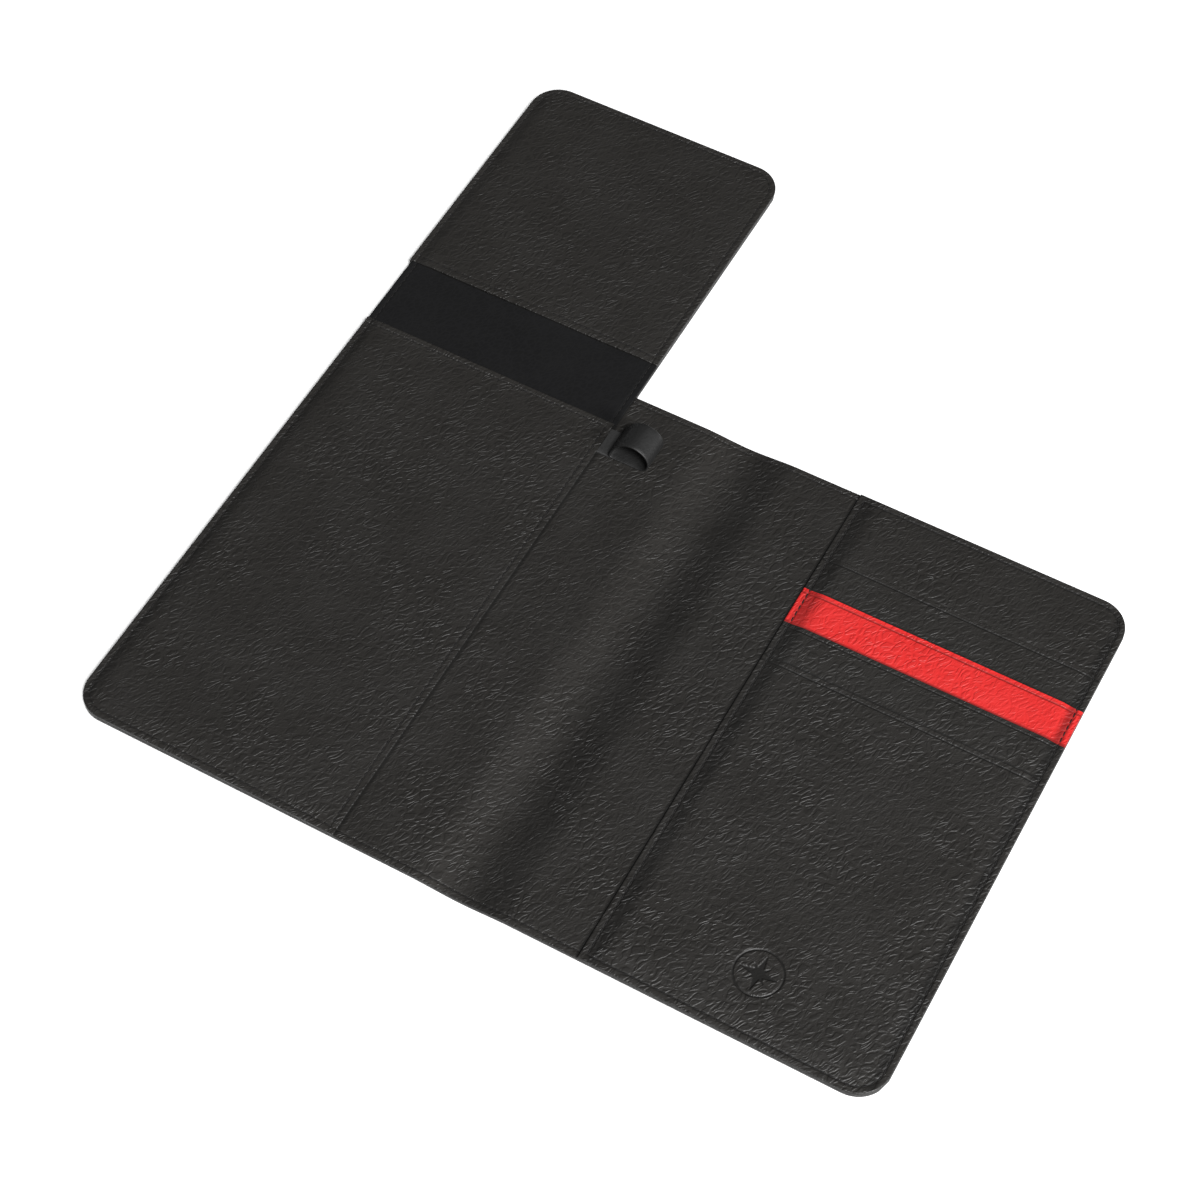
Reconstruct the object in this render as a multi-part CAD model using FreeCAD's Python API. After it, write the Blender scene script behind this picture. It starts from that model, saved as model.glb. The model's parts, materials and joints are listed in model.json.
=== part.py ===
"""A pilot logbook cover, lying open: two covers, a spine, and a flap that closes over the front.

Millimetres, +Z up. X runs across the open spread, Y towards the flap. The origin is on the surface
that the cover lies on, at the middle of its outline. Back cover at -X, front cover at +X.
"""

import FreeCAD
import Part
import math
import os

# Outline
SPREAD_WIDTH = 325.0
COVER_HEIGHT = 223.6
FLAP_REACH = 131.0
FLAP_WIDTH = 113.5
CORNER_RADIUS = 12.5
LEFT = -SPREAD_WIDTH / 2
RIGHT = SPREAD_WIDTH / 2
BOTTOM = -(COVER_HEIGHT + FLAP_REACH) / 2
TOP = BOTTOM + COVER_HEIGHT
FLAP_TOP = TOP + FLAP_REACH
FLAP_RIGHT = LEFT + FLAP_WIDTH

# Folds: the axes lie just above the inner surface, so that the covers close face to face
SPINE_MIDDLE = 2.0
SPINE_WIDTH = 15.2
SPINE_FOLD_X = SPINE_MIDDLE - SPINE_WIDTH / 2
FRONT_FOLD_X = SPINE_MIDDLE + SPINE_WIDTH / 2
SPINE_FOLD_GAP = 0.15
BAND_FOLD_Y = TOP + 0.4
BAND_WIDTH = 17.6
FLAP_FOLD_Y = BAND_FOLD_Y + BAND_WIDTH
BAND_FOLD_GAP = 0.2

# The spine sags into a shallow valley down to the surface below
VALLEY_DEPTH = 1.3
VALLEY_HALF_WIDTH = 21.0
VALLEY_STEPS = 12

# Layers, from the underside up
PANEL_UNDERSIDE = VALLEY_DEPTH
LEATHER = 1.0
BOARD = 0.95
LINING = 0.8
BOARD_UNDERSIDE = PANEL_UNDERSIDE + LEATHER
LINING_UNDERSIDE = BOARD_UNDERSIDE + BOARD
LINING_TOP = LINING_UNDERSIDE + LINING
TURNED_EDGE = 3.5
BOARD_CLEARANCE = 0.2

# Back cover sleeve and the smooth band that the flap hangs from
SLEEVE_WIDTH = 113.0
SLEEVE_HEIGHT = 207.2
SLEEVE = 0.75
BAND_TUCK = 1.2

# Front cover card panel: slot strips overlap like shingles on a backing panel
CARD_PANEL_WIDTH = 113.4
CARD_LEATHER = 0.4
SLOT_EDGE = 191.5
SLOT_PITCH = 16.9
SLOT_TUCK = 3.0
STRIP_LENGTH = SLOT_PITCH + SLOT_TUCK

# Flap
FLAP_THICKNESS = LINING_TOP + SLEEVE - PANEL_UNDERSIDE
FLAP_LINING = 0.8
FLAP_BOARD = FLAP_THICKNESS - LEATHER - FLAP_LINING

# Closing magnets in the flap, and the steel discs that they meet in the front cover
MAGNET_RADIUS = 5.0
MAGNET_HEIGHT = 1.4
KEEPER_HEIGHT = 0.8
DISC_FIT = 0.15
MAGNET_XS = (LEFT + 20.0, LEFT + 93.0)
MAGNET_Y = FLAP_TOP - 13.6
KEEPER_XS = [SPINE_FOLD_X + FRONT_FOLD_X - x for x in MAGNET_XS]
KEEPER_Y = BAND_FOLD_Y + FLAP_FOLD_Y - MAGNET_Y

# Pen loop
LOOP_LENGTH = 12.6
LOOP_CENTRE_Y = BOTTOM + 198.8
LOOP_LEFT = LEFT + 117.7
LOOP_WIDTH = 18.0
LOOP_HEIGHT = 12.9
LOOP_STRAP = 1.1
LOOP_FOOT_RADIUS = 3.0
LOOP_SHOULDER_RADIUS = 6.4
TAB_THICKNESS = 0.7
TAB_GAP = 0.1

BIG = 1000.0


def sag(x):
    """How far the spine valley drops at x."""
    offset = abs(x - SPINE_MIDDLE) / VALLEY_HALF_WIDTH
    if offset >= 1:
        return 0.0
    return VALLEY_DEPTH * (1 + math.cos(math.pi * offset)) / 2


def valley_edges(level):
    """Edges in the XZ plane, from LEFT to RIGHT, that follow the valley at a level."""
    a = SPINE_MIDDLE - VALLEY_HALF_WIDTH
    b = SPINE_MIDDLE + VALLEY_HALF_WIDTH
    steps = [a + (b - a) * i / VALLEY_STEPS for i in range(VALLEY_STEPS + 1)]
    curve = Part.BSplineCurve()
    curve.interpolate([FreeCAD.Vector(x, 0, level - sag(x)) for x in steps])
    return [
        Part.makeLine((LEFT, 0, level), (a, 0, level)),
        curve.toShape(),
        Part.makeLine((b, 0, level), (RIGHT, 0, level)),
    ]


def skin(x0, x1, y0, y1, level, thickness):
    """A layer that follows the valley, from x0 to x1 and from y0 to y1."""
    below = valley_edges(level)
    above = valley_edges(level + thickness)
    sides = [
        Part.makeLine((LEFT, 0, level), (LEFT, 0, level + thickness)),
        Part.makeLine((RIGHT, 0, level), (RIGHT, 0, level + thickness)),
    ]
    wire = Part.Wire(Part.__sortEdges__(below + above + sides))
    layer = Part.Face(wire).extrude(FreeCAD.Vector(0, y1 - y0, 0))
    layer.translate(FreeCAD.Vector(0, y0, 0))
    return layer.common(plate(x0, x1, y0, y1, -BIG, BIG))


def plate(x0, x1, y0, y1, z0, z1, rounded=(), radius=CORNER_RADIUS):
    """A flat plate. rounded names its round corners: sw, se, ne, nw."""
    block = Part.makeBox(x1 - x0, y1 - y0, z1 - z0, FreeCAD.Vector(x0, y0, z0))
    corners = {"sw": (x0, y0), "se": (x1, y0), "ne": (x1, y1), "nw": (x0, y1)}
    uprights = []
    for edge in block.Edges:
        a, b = (v.Point for v in edge.Vertexes)
        for name in rounded:
            x, y = corners[name]
            if abs(a.z - b.z) > (z1 - z0) / 2 and abs(a.x - x) + abs(a.y - y) < 1e-6:
                uprights.append(edge)
    return block.makeFillet(radius, uprights) if uprights else block


def disc(x, y, z, radius, height):
    return Part.makeCylinder(radius, height, FreeCAD.Vector(x, y, z))


def save(name, *solids):
    """Writes one node as its separate solids."""
    shape = solids[0] if len(solids) == 1 else Part.makeCompound(list(solids))
    if not shape.isValid() or len(shape.Solids) != len(solids):
        raise RuntimeError(name + " isn't one valid solid for each piece")
    shape.exportStep("parts/" + name + ".step")


def cover_leather(x0, x1, rounded, pocket_x0, pocket_x1):
    """A cover's outer leather, with its edge turned up round the board."""
    leather = skin(x0, x1, BOTTOM, TOP, PANEL_UNDERSIDE, LEATHER + BOARD)
    leather = leather.common(plate(x0, x1, BOTTOM, TOP, -BIG, BIG, rounded))
    pocket = skin(pocket_x0, pocket_x1, BOTTOM + TURNED_EDGE, TOP - TURNED_EDGE, BOARD_UNDERSIDE, BIG)
    shape = plate(
        pocket_x0,
        pocket_x1,
        BOTTOM + TURNED_EDGE,
        TOP - TURNED_EDGE,
        -BIG,
        BIG,
        rounded,
        CORNER_RADIUS - TURNED_EDGE,
    )
    return leather.cut(pocket.common(shape))


def cover_board(x0, x1, rounded, holes=()):
    """A stiffening board, a little smaller than its pocket in the leather."""
    y0 = BOTTOM + TURNED_EDGE + BOARD_CLEARANCE
    y1 = TOP - TURNED_EDGE - BOARD_CLEARANCE
    radius = CORNER_RADIUS - TURNED_EDGE - BOARD_CLEARANCE
    board = plate(x0, x1, y0, y1, BOARD_UNDERSIDE, LINING_UNDERSIDE, rounded, radius)
    for x, y in holes:
        board = board.cut(disc(x, y, BOARD_UNDERSIDE - 1, MAGNET_RADIUS + DISC_FIT, BOARD + 2))
    return board


def hinge_strip(x0, x1):
    """The reinforcement that takes the board's place where the cover bends."""
    y0 = BOTTOM + TURNED_EDGE + BOARD_CLEARANCE
    y1 = TOP - TURNED_EDGE - BOARD_CLEARANCE
    return skin(x0, x1, y0, y1, BOARD_UNDERSIDE, BOARD)


def back_cover():
    x1 = SPINE_FOLD_X - SPINE_FOLD_GAP
    pocket_x0 = LEFT + TURNED_EDGE
    board_x1 = SPINE_MIDDLE - VALLEY_HALF_WIDTH - 2.0
    crease = BAND_FOLD_Y - BAND_FOLD_GAP
    root = plate(LEFT, FLAP_RIGHT, TOP, crease, PANEL_UNDERSIDE, LINING_UNDERSIDE)
    leather = cover_leather(LEFT, x1, ("sw",), pocket_x0, x1 + 1)
    save("back_cover_leather", leather.fuse(root).removeSplitter())
    save("back_cover_board", cover_board(pocket_x0 + BOARD_CLEARANCE, board_x1, ("sw",)))
    save("back_hinge_strip", hinge_strip(board_x1 + BOARD_CLEARANCE, x1))
    lining = skin(LEFT, x1, BOTTOM, TOP, LINING_UNDERSIDE, LINING)
    lining = lining.common(plate(LEFT, x1, BOTTOM, TOP, -BIG, BIG, ("sw",)))
    band_y0 = BOTTOM + SLEEVE_HEIGHT - BAND_TUCK
    band = plate(LEFT, FLAP_RIGHT, band_y0, crease, LINING_UNDERSIDE, LINING_TOP)
    save("back_cover_lining", lining.cut(band))
    save("hinge_band_lower_lining", band)
    sleeve_x1 = LEFT + SLEEVE_WIDTH
    sleeve_y1 = BOTTOM + SLEEVE_HEIGHT
    sleeve_z1 = LINING_TOP + SLEEVE
    save("back_cover_sleeve", plate(LEFT, sleeve_x1, BOTTOM, sleeve_y1, LINING_TOP, sleeve_z1, ("sw",)))


def spine():
    x0 = SPINE_FOLD_X + SPINE_FOLD_GAP
    x1 = FRONT_FOLD_X - SPINE_FOLD_GAP
    save("spine_leather", cover_leather(x0, x1, (), x0 - 1, x1 + 1))
    save("spine_strip", hinge_strip(x0, x1))
    save("spine_lining", skin(x0, x1, BOTTOM, TOP, LINING_UNDERSIDE, LINING))


def front_cover():
    x0 = FRONT_FOLD_X + SPINE_FOLD_GAP
    outer = ("se", "ne")
    pocket_x1 = RIGHT - TURNED_EDGE
    board_x0 = SPINE_MIDDLE + VALLEY_HALF_WIDTH + 2.0
    places = [(x, KEEPER_Y) for x in KEEPER_XS]
    save("front_cover_leather", cover_leather(x0, RIGHT, outer, x0 - 1, pocket_x1))
    save("front_cover_board", cover_board(board_x0, pocket_x1 - BOARD_CLEARANCE, outer, places))
    save("front_hinge_strip", hinge_strip(x0, board_x0 - BOARD_CLEARANCE))
    lining = skin(x0, RIGHT, BOTTOM, TOP, LINING_UNDERSIDE, LINING)
    save("front_cover_lining", lining.common(plate(x0, RIGHT, BOTTOM, TOP, -BIG, BIG, outer)))
    keepers = [disc(x, y, BOARD_UNDERSIDE, MAGNET_RADIUS, KEEPER_HEIGHT) for x, y in places]
    save("closing_keepers", *keepers)


def shingle(top_edge, length, flat_to=None):
    """The outline, in YZ, of a strip whose lower edge rests on the backing panel."""
    rest = LINING_TOP + CARD_LEATHER
    lift = CARD_LEATHER * length / SLOT_PITCH
    low = top_edge - length
    points = [(top_edge, rest + lift), (low, rest)]
    if flat_to is not None:
        points.append((flat_to, rest))
    points += [(y, z + CARD_LEATHER) for y, z in reversed(points)]
    points.append(points[0])
    return Part.makePolygon([FreeCAD.Vector(RIGHT - CARD_PANEL_WIDTH, y, z) for y, z in points])


def card_panel():
    """The backing panel, three slot strips and the large front pocket."""
    x0 = RIGHT - CARD_PANEL_WIDTH
    outer = ("se", "ne")
    outline = plate(x0, RIGHT, BOTTOM, TOP, -BIG, BIG, outer)
    rest = LINING_TOP + CARD_LEATHER
    save("card_panel_backing", plate(x0, RIGHT, BOTTOM, TOP, LINING_TOP, rest, outer))
    edge = BOTTOM + SLOT_EDGE
    for name in ("card_slot_top", "card_slot_red", "card_slot_lower"):
        strip = Part.Face(shingle(edge, STRIP_LENGTH)).extrude(FreeCAD.Vector(CARD_PANEL_WIDTH, 0, 0))
        save(name, strip)
        edge -= SLOT_PITCH
    pocket = Part.Face(shingle(edge, STRIP_LENGTH, BOTTOM)).extrude(FreeCAD.Vector(CARD_PANEL_WIDTH, 0, 0))
    save("front_pocket_panel", pocket.common(outline))


def flap_band():
    """The narrow band between the two folds that lets the flap reach over the front cover."""
    y0 = BAND_FOLD_Y + BAND_FOLD_GAP
    y1 = FLAP_FOLD_Y - BAND_FOLD_GAP
    save("flap_band_leather", plate(LEFT, FLAP_RIGHT, y0, y1, PANEL_UNDERSIDE, LINING_UNDERSIDE))
    save("flap_band_lining", plate(LEFT, FLAP_RIGHT, y0, y1, LINING_UNDERSIDE, LINING_TOP))


def flap():
    y0 = FLAP_FOLD_Y + BAND_FOLD_GAP
    outer = ("nw", "ne")
    board_top = BOARD_UNDERSIDE + FLAP_BOARD
    inset = TURNED_EDGE + BOARD_CLEARANCE
    leather = plate(LEFT, FLAP_RIGHT, y0, FLAP_TOP, PANEL_UNDERSIDE, board_top, outer)
    pocket = plate(
        LEFT + TURNED_EDGE,
        FLAP_RIGHT - TURNED_EDGE,
        y0 + TURNED_EDGE,
        FLAP_TOP - TURNED_EDGE,
        BOARD_UNDERSIDE,
        board_top + 1,
        outer,
        CORNER_RADIUS - TURNED_EDGE,
    )
    board = plate(
        LEFT + inset,
        FLAP_RIGHT - inset,
        y0 + inset,
        FLAP_TOP - inset,
        BOARD_UNDERSIDE,
        board_top,
        outer,
        CORNER_RADIUS - inset,
    )
    for x in MAGNET_XS:
        board = board.cut(disc(x, MAGNET_Y, BOARD_UNDERSIDE - 1, MAGNET_RADIUS + DISC_FIT, FLAP_BOARD + 2))
    magnets = [
        disc(x, MAGNET_Y, board_top - MAGNET_HEIGHT, MAGNET_RADIUS, MAGNET_HEIGHT) for x in MAGNET_XS
    ]
    save("flap_leather", leather.cut(pocket))
    save("flap_board", board)
    save("closing_magnets", *magnets)
    lining_top = board_top + FLAP_LINING
    save("flap_lining", plate(LEFT, FLAP_RIGHT, y0, FLAP_TOP, board_top, lining_top, outer))


def loop_outline(inset):
    """The pen loop's closed outline, in XZ: a flat foot and a round shoulder."""
    x0 = LOOP_LEFT + inset
    x1 = LOOP_LEFT + LOOP_WIDTH - inset
    z0 = LINING_TOP + inset
    z1 = LINING_TOP + LOOP_HEIGHT - inset
    foot = plate(x0, x1, 0, LOOP_LENGTH + 2 * inset, z0, z1)
    edges_at = {"foot": [], "shoulder": []}
    for edge in foot.Edges:
        a, b = (v.Point for v in edge.Vertexes)
        if abs(a.y - b.y) > LOOP_LENGTH / 2:
            edges_at["foot" if abs(a.z - z0) < 1e-6 else "shoulder"].append(edge)
    solid = foot.makeFillet(LOOP_SHOULDER_RADIUS - inset, edges_at["shoulder"])
    low = [
        e
        for e in solid.Edges
        if e.BoundBox.YLength > LOOP_LENGTH / 2 and abs(e.BoundBox.ZMax - z0) < 1e-6
    ]
    solid = solid.makeFillet(LOOP_FOOT_RADIUS - inset, low)
    solid.translate(FreeCAD.Vector(0, LOOP_CENTRE_Y - LOOP_LENGTH / 2 - inset, 0))
    return solid


def pen_loop():
    save("pen_loop", loop_outline(0).cut(loop_outline(LOOP_STRAP)))
    x0 = LEFT + SLEEVE_WIDTH + TAB_GAP
    y0 = LOOP_CENTRE_Y - LOOP_LENGTH / 2
    tab = plate(x0, LOOP_LEFT - TAB_GAP, y0, y0 + LOOP_LENGTH, LINING_TOP, LINING_TOP + TAB_THICKNESS)
    save("pen_loop_tab", tab)


def main():
    os.makedirs("parts", exist_ok=True)
    back_cover()
    spine()
    front_cover()
    card_panel()
    flap_band()
    flap()
    pen_loop()


main()
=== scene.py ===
"""Looks for the pilot logbook cover: leather panels, hems, stitching, pen loop, lights and camera.

Lengths are in millimetres in the part's own frame until a mesh is made, and places on the part are
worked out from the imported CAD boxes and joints. The camera, lights and floor are in metres and come
first, then materials, then the pieces.
"""

import json
import math

import bpy
import numpy as np
from mathutils import Matrix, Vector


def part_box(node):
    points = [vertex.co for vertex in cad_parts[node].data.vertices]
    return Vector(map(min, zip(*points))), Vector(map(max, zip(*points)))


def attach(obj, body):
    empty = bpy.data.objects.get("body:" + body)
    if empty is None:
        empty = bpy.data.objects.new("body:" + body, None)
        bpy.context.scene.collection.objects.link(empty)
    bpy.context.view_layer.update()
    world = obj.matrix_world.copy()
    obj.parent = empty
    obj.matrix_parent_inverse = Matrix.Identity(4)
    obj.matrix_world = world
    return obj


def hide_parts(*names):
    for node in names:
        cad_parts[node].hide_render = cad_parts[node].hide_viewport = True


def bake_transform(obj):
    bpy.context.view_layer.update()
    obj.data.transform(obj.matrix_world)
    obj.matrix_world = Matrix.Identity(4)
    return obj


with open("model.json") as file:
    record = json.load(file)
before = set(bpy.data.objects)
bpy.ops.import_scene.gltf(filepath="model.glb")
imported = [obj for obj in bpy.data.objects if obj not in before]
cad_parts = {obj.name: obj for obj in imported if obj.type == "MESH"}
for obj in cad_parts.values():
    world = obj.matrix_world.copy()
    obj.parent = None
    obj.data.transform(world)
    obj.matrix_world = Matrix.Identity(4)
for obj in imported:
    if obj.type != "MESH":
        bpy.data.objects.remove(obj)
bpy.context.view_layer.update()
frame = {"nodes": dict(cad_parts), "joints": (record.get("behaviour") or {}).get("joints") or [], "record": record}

MM = 0.001


def box_mm(node):
    """A CAD node's lowest and highest corner, in millimetres."""
    return [[c / MM for c in corner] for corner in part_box(node)]


# Places on the frame
(LEFT, BOTTOM, _), _ = box_mm("back_cover_leather")
(_, _, _), (RIGHT, TOP, _) = box_mm("front_cover_leather")
(_, _, PANEL_UNDERSIDE), (FLAP_RIGHT, FLAP_TOP, _) = box_mm("flap_leather")
(_, _, _), (SLEEVE_RIGHT, SLEEVE_TOP, SLEEVE_Z) = box_mm("back_cover_sleeve")
(_, _, BOARD_Z), (_, _, LINING_UNDERSIDE) = box_mm("back_cover_board")
LINING_Z = box_mm("flap_band_lining")[1][2]
CARD_LEFT = box_mm("card_panel_backing")[0][0]
SLOT_NODES = ("card_slot_top", "card_slot_red", "card_slot_lower", "front_pocket_panel")
SLOT_EDGES = [box_mm(node)[1][1] for node in SLOT_NODES]
SLOT_PITCH = SLOT_EDGES[0] - SLOT_EDGES[1]
BAND_TUCKED_Y = box_mm("hinge_band_lower_lining")[0][1]
FOLDS = {j["name"]: [c / MM for c in j["pos_m"]] for j in frame["joints"]}
SPINE_MIDDLE = (FOLDS["spine_fold"][0] + FOLDS["front_cover_fold"][0]) / 2
BAND_MIDDLE = (FOLDS["band_fold"][1] + FOLDS["flap_fold"][1]) / 2

# Shape of the leather
CORNER = 12.5
VALLEY_HALF_WIDTH = 21.0
OUTER_ROLL = 0.9
INNER_ROLL = 0.25
TURNED_EDGE = 4.0
STRIP_THICKNESS = 0.42
STRIP_TUCK = 2.2
FLAP_OVERHANG = 0.7
FLAP_HEM_Y = FOLDS["flap_fold"][1] - 0.5
SEAM_Y = TOP - 6.0

# How far inside a seam the leather starts to puff up, and how far inside a hem its fold shows
PUFF_START = 2.9
HEM_FOLD = 2.1

# Painted shade on the spine valley's right, rising flank and painted light on its left flank, per unit of slope
FLANK_DARKER = 3.6
FLANK_LIGHTER = 3.4

# Where each fold's bend starts and ends, measured from its axis
FOLD_ZONES = {
    "spine_fold": (-3.5, 3.5),
    "front_cover_fold": (-3.5, 3.5),
    "band_fold": (-0.3, 4.3),
    "flap_fold": (-4.3, 0.3),
}

# Heights of the layers at their seams
BAND_TOP_Z = LINING_Z + 0.05
SLEEVE_BORDER_Z = SLEEVE_Z - 0.05
CARD_BORDER_Z = LINING_Z + 0.82
STRIP_BORDER_Z = CARD_BORDER_Z + 0.02
STRIP_FLOOR_Z = CARD_BORDER_Z - 0.45

# The pressed compass rose: its middle, its ring, and its points' (reach, half width)
ROSE_X = RIGHT - 56.0
ROSE_Y = BOTTOM + 24.5
ROSE_RING = 8.9
ROSE_LONG = (8.0, 1.9)
ROSE_SHORT = (5.0, 1.3)
ROSE_REACH = 10

# Outlines: left, right, bottom, top
SPREAD = (LEFT, RIGHT, BOTTOM, TOP)
FLAP_AND_BACK = (LEFT, FLAP_RIGHT, BOTTOM, FLAP_TOP)
SLEEVE = (LEFT, SLEEVE_RIGHT, BOTTOM, SLEEVE_TOP)
FLAP_PANEL = (LEFT - FLAP_OVERHANG, FLAP_RIGHT, FLAP_HEM_Y, FLAP_TOP)
CARD_PANEL = (CARD_LEFT, RIGHT, BOTTOM, TOP)
POCKET = (CARD_LEFT, RIGHT, BOTTOM, SLOT_EDGES[3])

# Grid spacing: fine just inside an edge, at the steps below, and wider away from it
EDGE_STEPS = (0, 0.05, 0.18, 0.4, 0.7, 1.05, 1.45, 1.85, 2.2, 2.45, 2.7, 2.95, 3.3, 3.8, 4.5, 5.4, 6.5)
OUTER_STEP = 5.0
VALLEY_STEP = 0.9
PANEL_STEP = 1.6
CARD_STEP = 1.5
BAND_STEP = 0.8
OUTER_BAND_STEP = 0.7
WIDE_STEP = 9.0
HEM_STEP = 0.25
ROSE_STEP = 0.26
SHARP_DEGREES = 48

# Stitching: each thread's rings are (share of its length from the middle, share of its radius)
STITCH = 2.6
STITCH_DEPTH = 0.22
STITCH_HALF_WIDTH = 0.55
HEM_STITCH = 2.65
FLAP_HEM_STITCH = 3.2
HEM_GAP = 1.5
THREAD_PITCH = 3.0
THREAD_LENGTH = 2.15
THREAD_RADIUS = 0.3
THREAD_SIDES = 6
THREAD_LEAN = 0.16
THREAD_RINGS = ((-0.5, 0.0), (-0.46, 0.6), (-0.30, 0.95), (0.0, 1.0), (0.30, 0.95), (0.46, 0.6), (0.5, 0.0))
THREAD_THINNEST = 0.12
THREAD_FLATNESS = 0.8
PATH_STEP = 0.25

# The pen loop's outline from its corner, along x and up
LOOP_OUTLINE = (
    (1.7, 0.05),
    (8.0, 0.05),
    (13.6, 0.1),
    (16.6, 1.5),
    (17.9, 4.6),
    (17.6, 8.0),
    (15.7, 10.9),
    (12.5, 12.6),
    (9.2, 12.7),
    (6.0, 11.3),
    (3.2, 8.2),
    (1.2, 4.4),
    (0.3, 1.4),
)
LOOP_STRAP = 0.8
STRAP_ROUND = 0.3

# Colours
BLACK = (0.0100, 0.0092, 0.0083)
RED = (0.41, 0.014, 0.013)
BAND_BLACK = (0.0060, 0.0060, 0.0063)
LOOP_BLACK = (0.0075, 0.0075, 0.0075)
TAB_GREY = (0.022, 0.022, 0.022)
THREAD_DARK = (0.004, 0.004, 0.004, 1)
THREAD_LIGHT = (0.012, 0.011, 0.011, 1)
BOARD_DARK, BOARD_LIGHT = (0.20, 0.19, 0.17, 1), (0.34, 0.33, 0.30, 1)
STRIP_DARK, STRIP_LIGHT = (0.03, 0.03, 0.03, 1), (0.09, 0.09, 0.09, 1)
NICKEL_DARK, NICKEL_LIGHT = (0.55, 0.54, 0.52, 1), (0.66, 0.65, 0.63, 1)
ZINC_DARK, ZINC_LIGHT = (0.38, 0.39, 0.40, 1), (0.52, 0.53, 0.54, 1)
WRINKLE_DEGREES = 58

# Stage, in metres
FLOOR_HALF = 15.0
FLOOR_DROP = 0.0002


# ---------------- camera, lights, floor
def make_camera():
    """Right of the spread and in front of it, looking down."""
    camera = bpy.data.objects.new("camera", bpy.data.cameras.new("camera"))
    camera.data.lens = 81.3
    camera.data.sensor_width = 36.0
    right = (0.87562, 0.48300, 0.00005)
    up = (-0.40240, 0.72945, 0.55315)
    back = (0.26714, -0.48437, 0.83308)
    place = (0.25516, -0.53445, 0.84709)
    rows = [[right[i], up[i], back[i], place[i]] for i in range(3)]
    camera.matrix_world = Matrix(rows + [[0, 0, 0, 1]])
    bpy.context.scene.collection.objects.link(camera)
    bpy.context.scene.camera = camera


def area_light(name, place, size, power):
    """A square soft box that faces the middle of the spread."""
    lamp = bpy.data.lights.new(name, "AREA")
    lamp.size = size
    lamp.energy = power
    box = bpy.data.objects.new(name, lamp)
    box.location = place
    box.rotation_mode = "QUATERNION"
    box.rotation_quaternion = (-box.location).to_track_quat("-Z", "Y")
    bpy.context.scene.collection.objects.link(box)


def sun_light(name, place, softness_degrees, strength):
    """An even light from one side that keeps the floor pale to its far end."""
    lamp = bpy.data.lights.new(name, "SUN")
    lamp.angle = math.radians(softness_degrees)
    lamp.energy = strength
    sun = bpy.data.objects.new(name, lamp)
    sun.location = place
    sun.rotation_mode = "QUATERNION"
    sun.rotation_quaternion = (-sun.location).to_track_quat("-Z", "Y")
    bpy.context.scene.collection.objects.link(sun)


def make_stage():
    """A plain pale floor under a soft sun, a soft box at the side and a dim even world."""
    world = bpy.data.worlds.new("studio")
    world.use_nodes = True
    background = world.node_tree.nodes["Background"]
    background.inputs["Color"].default_value = (1, 1, 1, 1)
    background.inputs["Strength"].default_value = 0.10
    bpy.context.scene.world = world
    bpy.context.scene.view_settings.view_transform = "Standard"
    area_light("side", place=(1.25, -0.45, 0.75), size=0.30, power=26.0)
    sun_light("key", place=(0.70, -0.66, 1.25), softness_degrees=14, strength=4.3)
    mesh = bpy.data.meshes.new("floor")
    corners = [(FLOOR_HALF * x, FLOOR_HALF * y, 0) for x, y in ((-1, -1), (1, -1), (1, 1), (-1, 1))]
    mesh.from_pydata(corners, [], [(0, 1, 2, 3)])
    floor = bpy.data.objects.new("floor", mesh)
    floor.location.z = -FLOOR_DROP
    material = bpy.data.materials.new("floor")
    material.use_nodes = True
    shader = material.node_tree.nodes["Principled BSDF"]
    shader.inputs["Base Color"].default_value = (0.9, 0.9, 0.9, 1)
    shader.inputs["Roughness"].default_value = 0.9
    mesh.materials.append(material)
    bpy.context.scene.collection.objects.link(floor)


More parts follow.
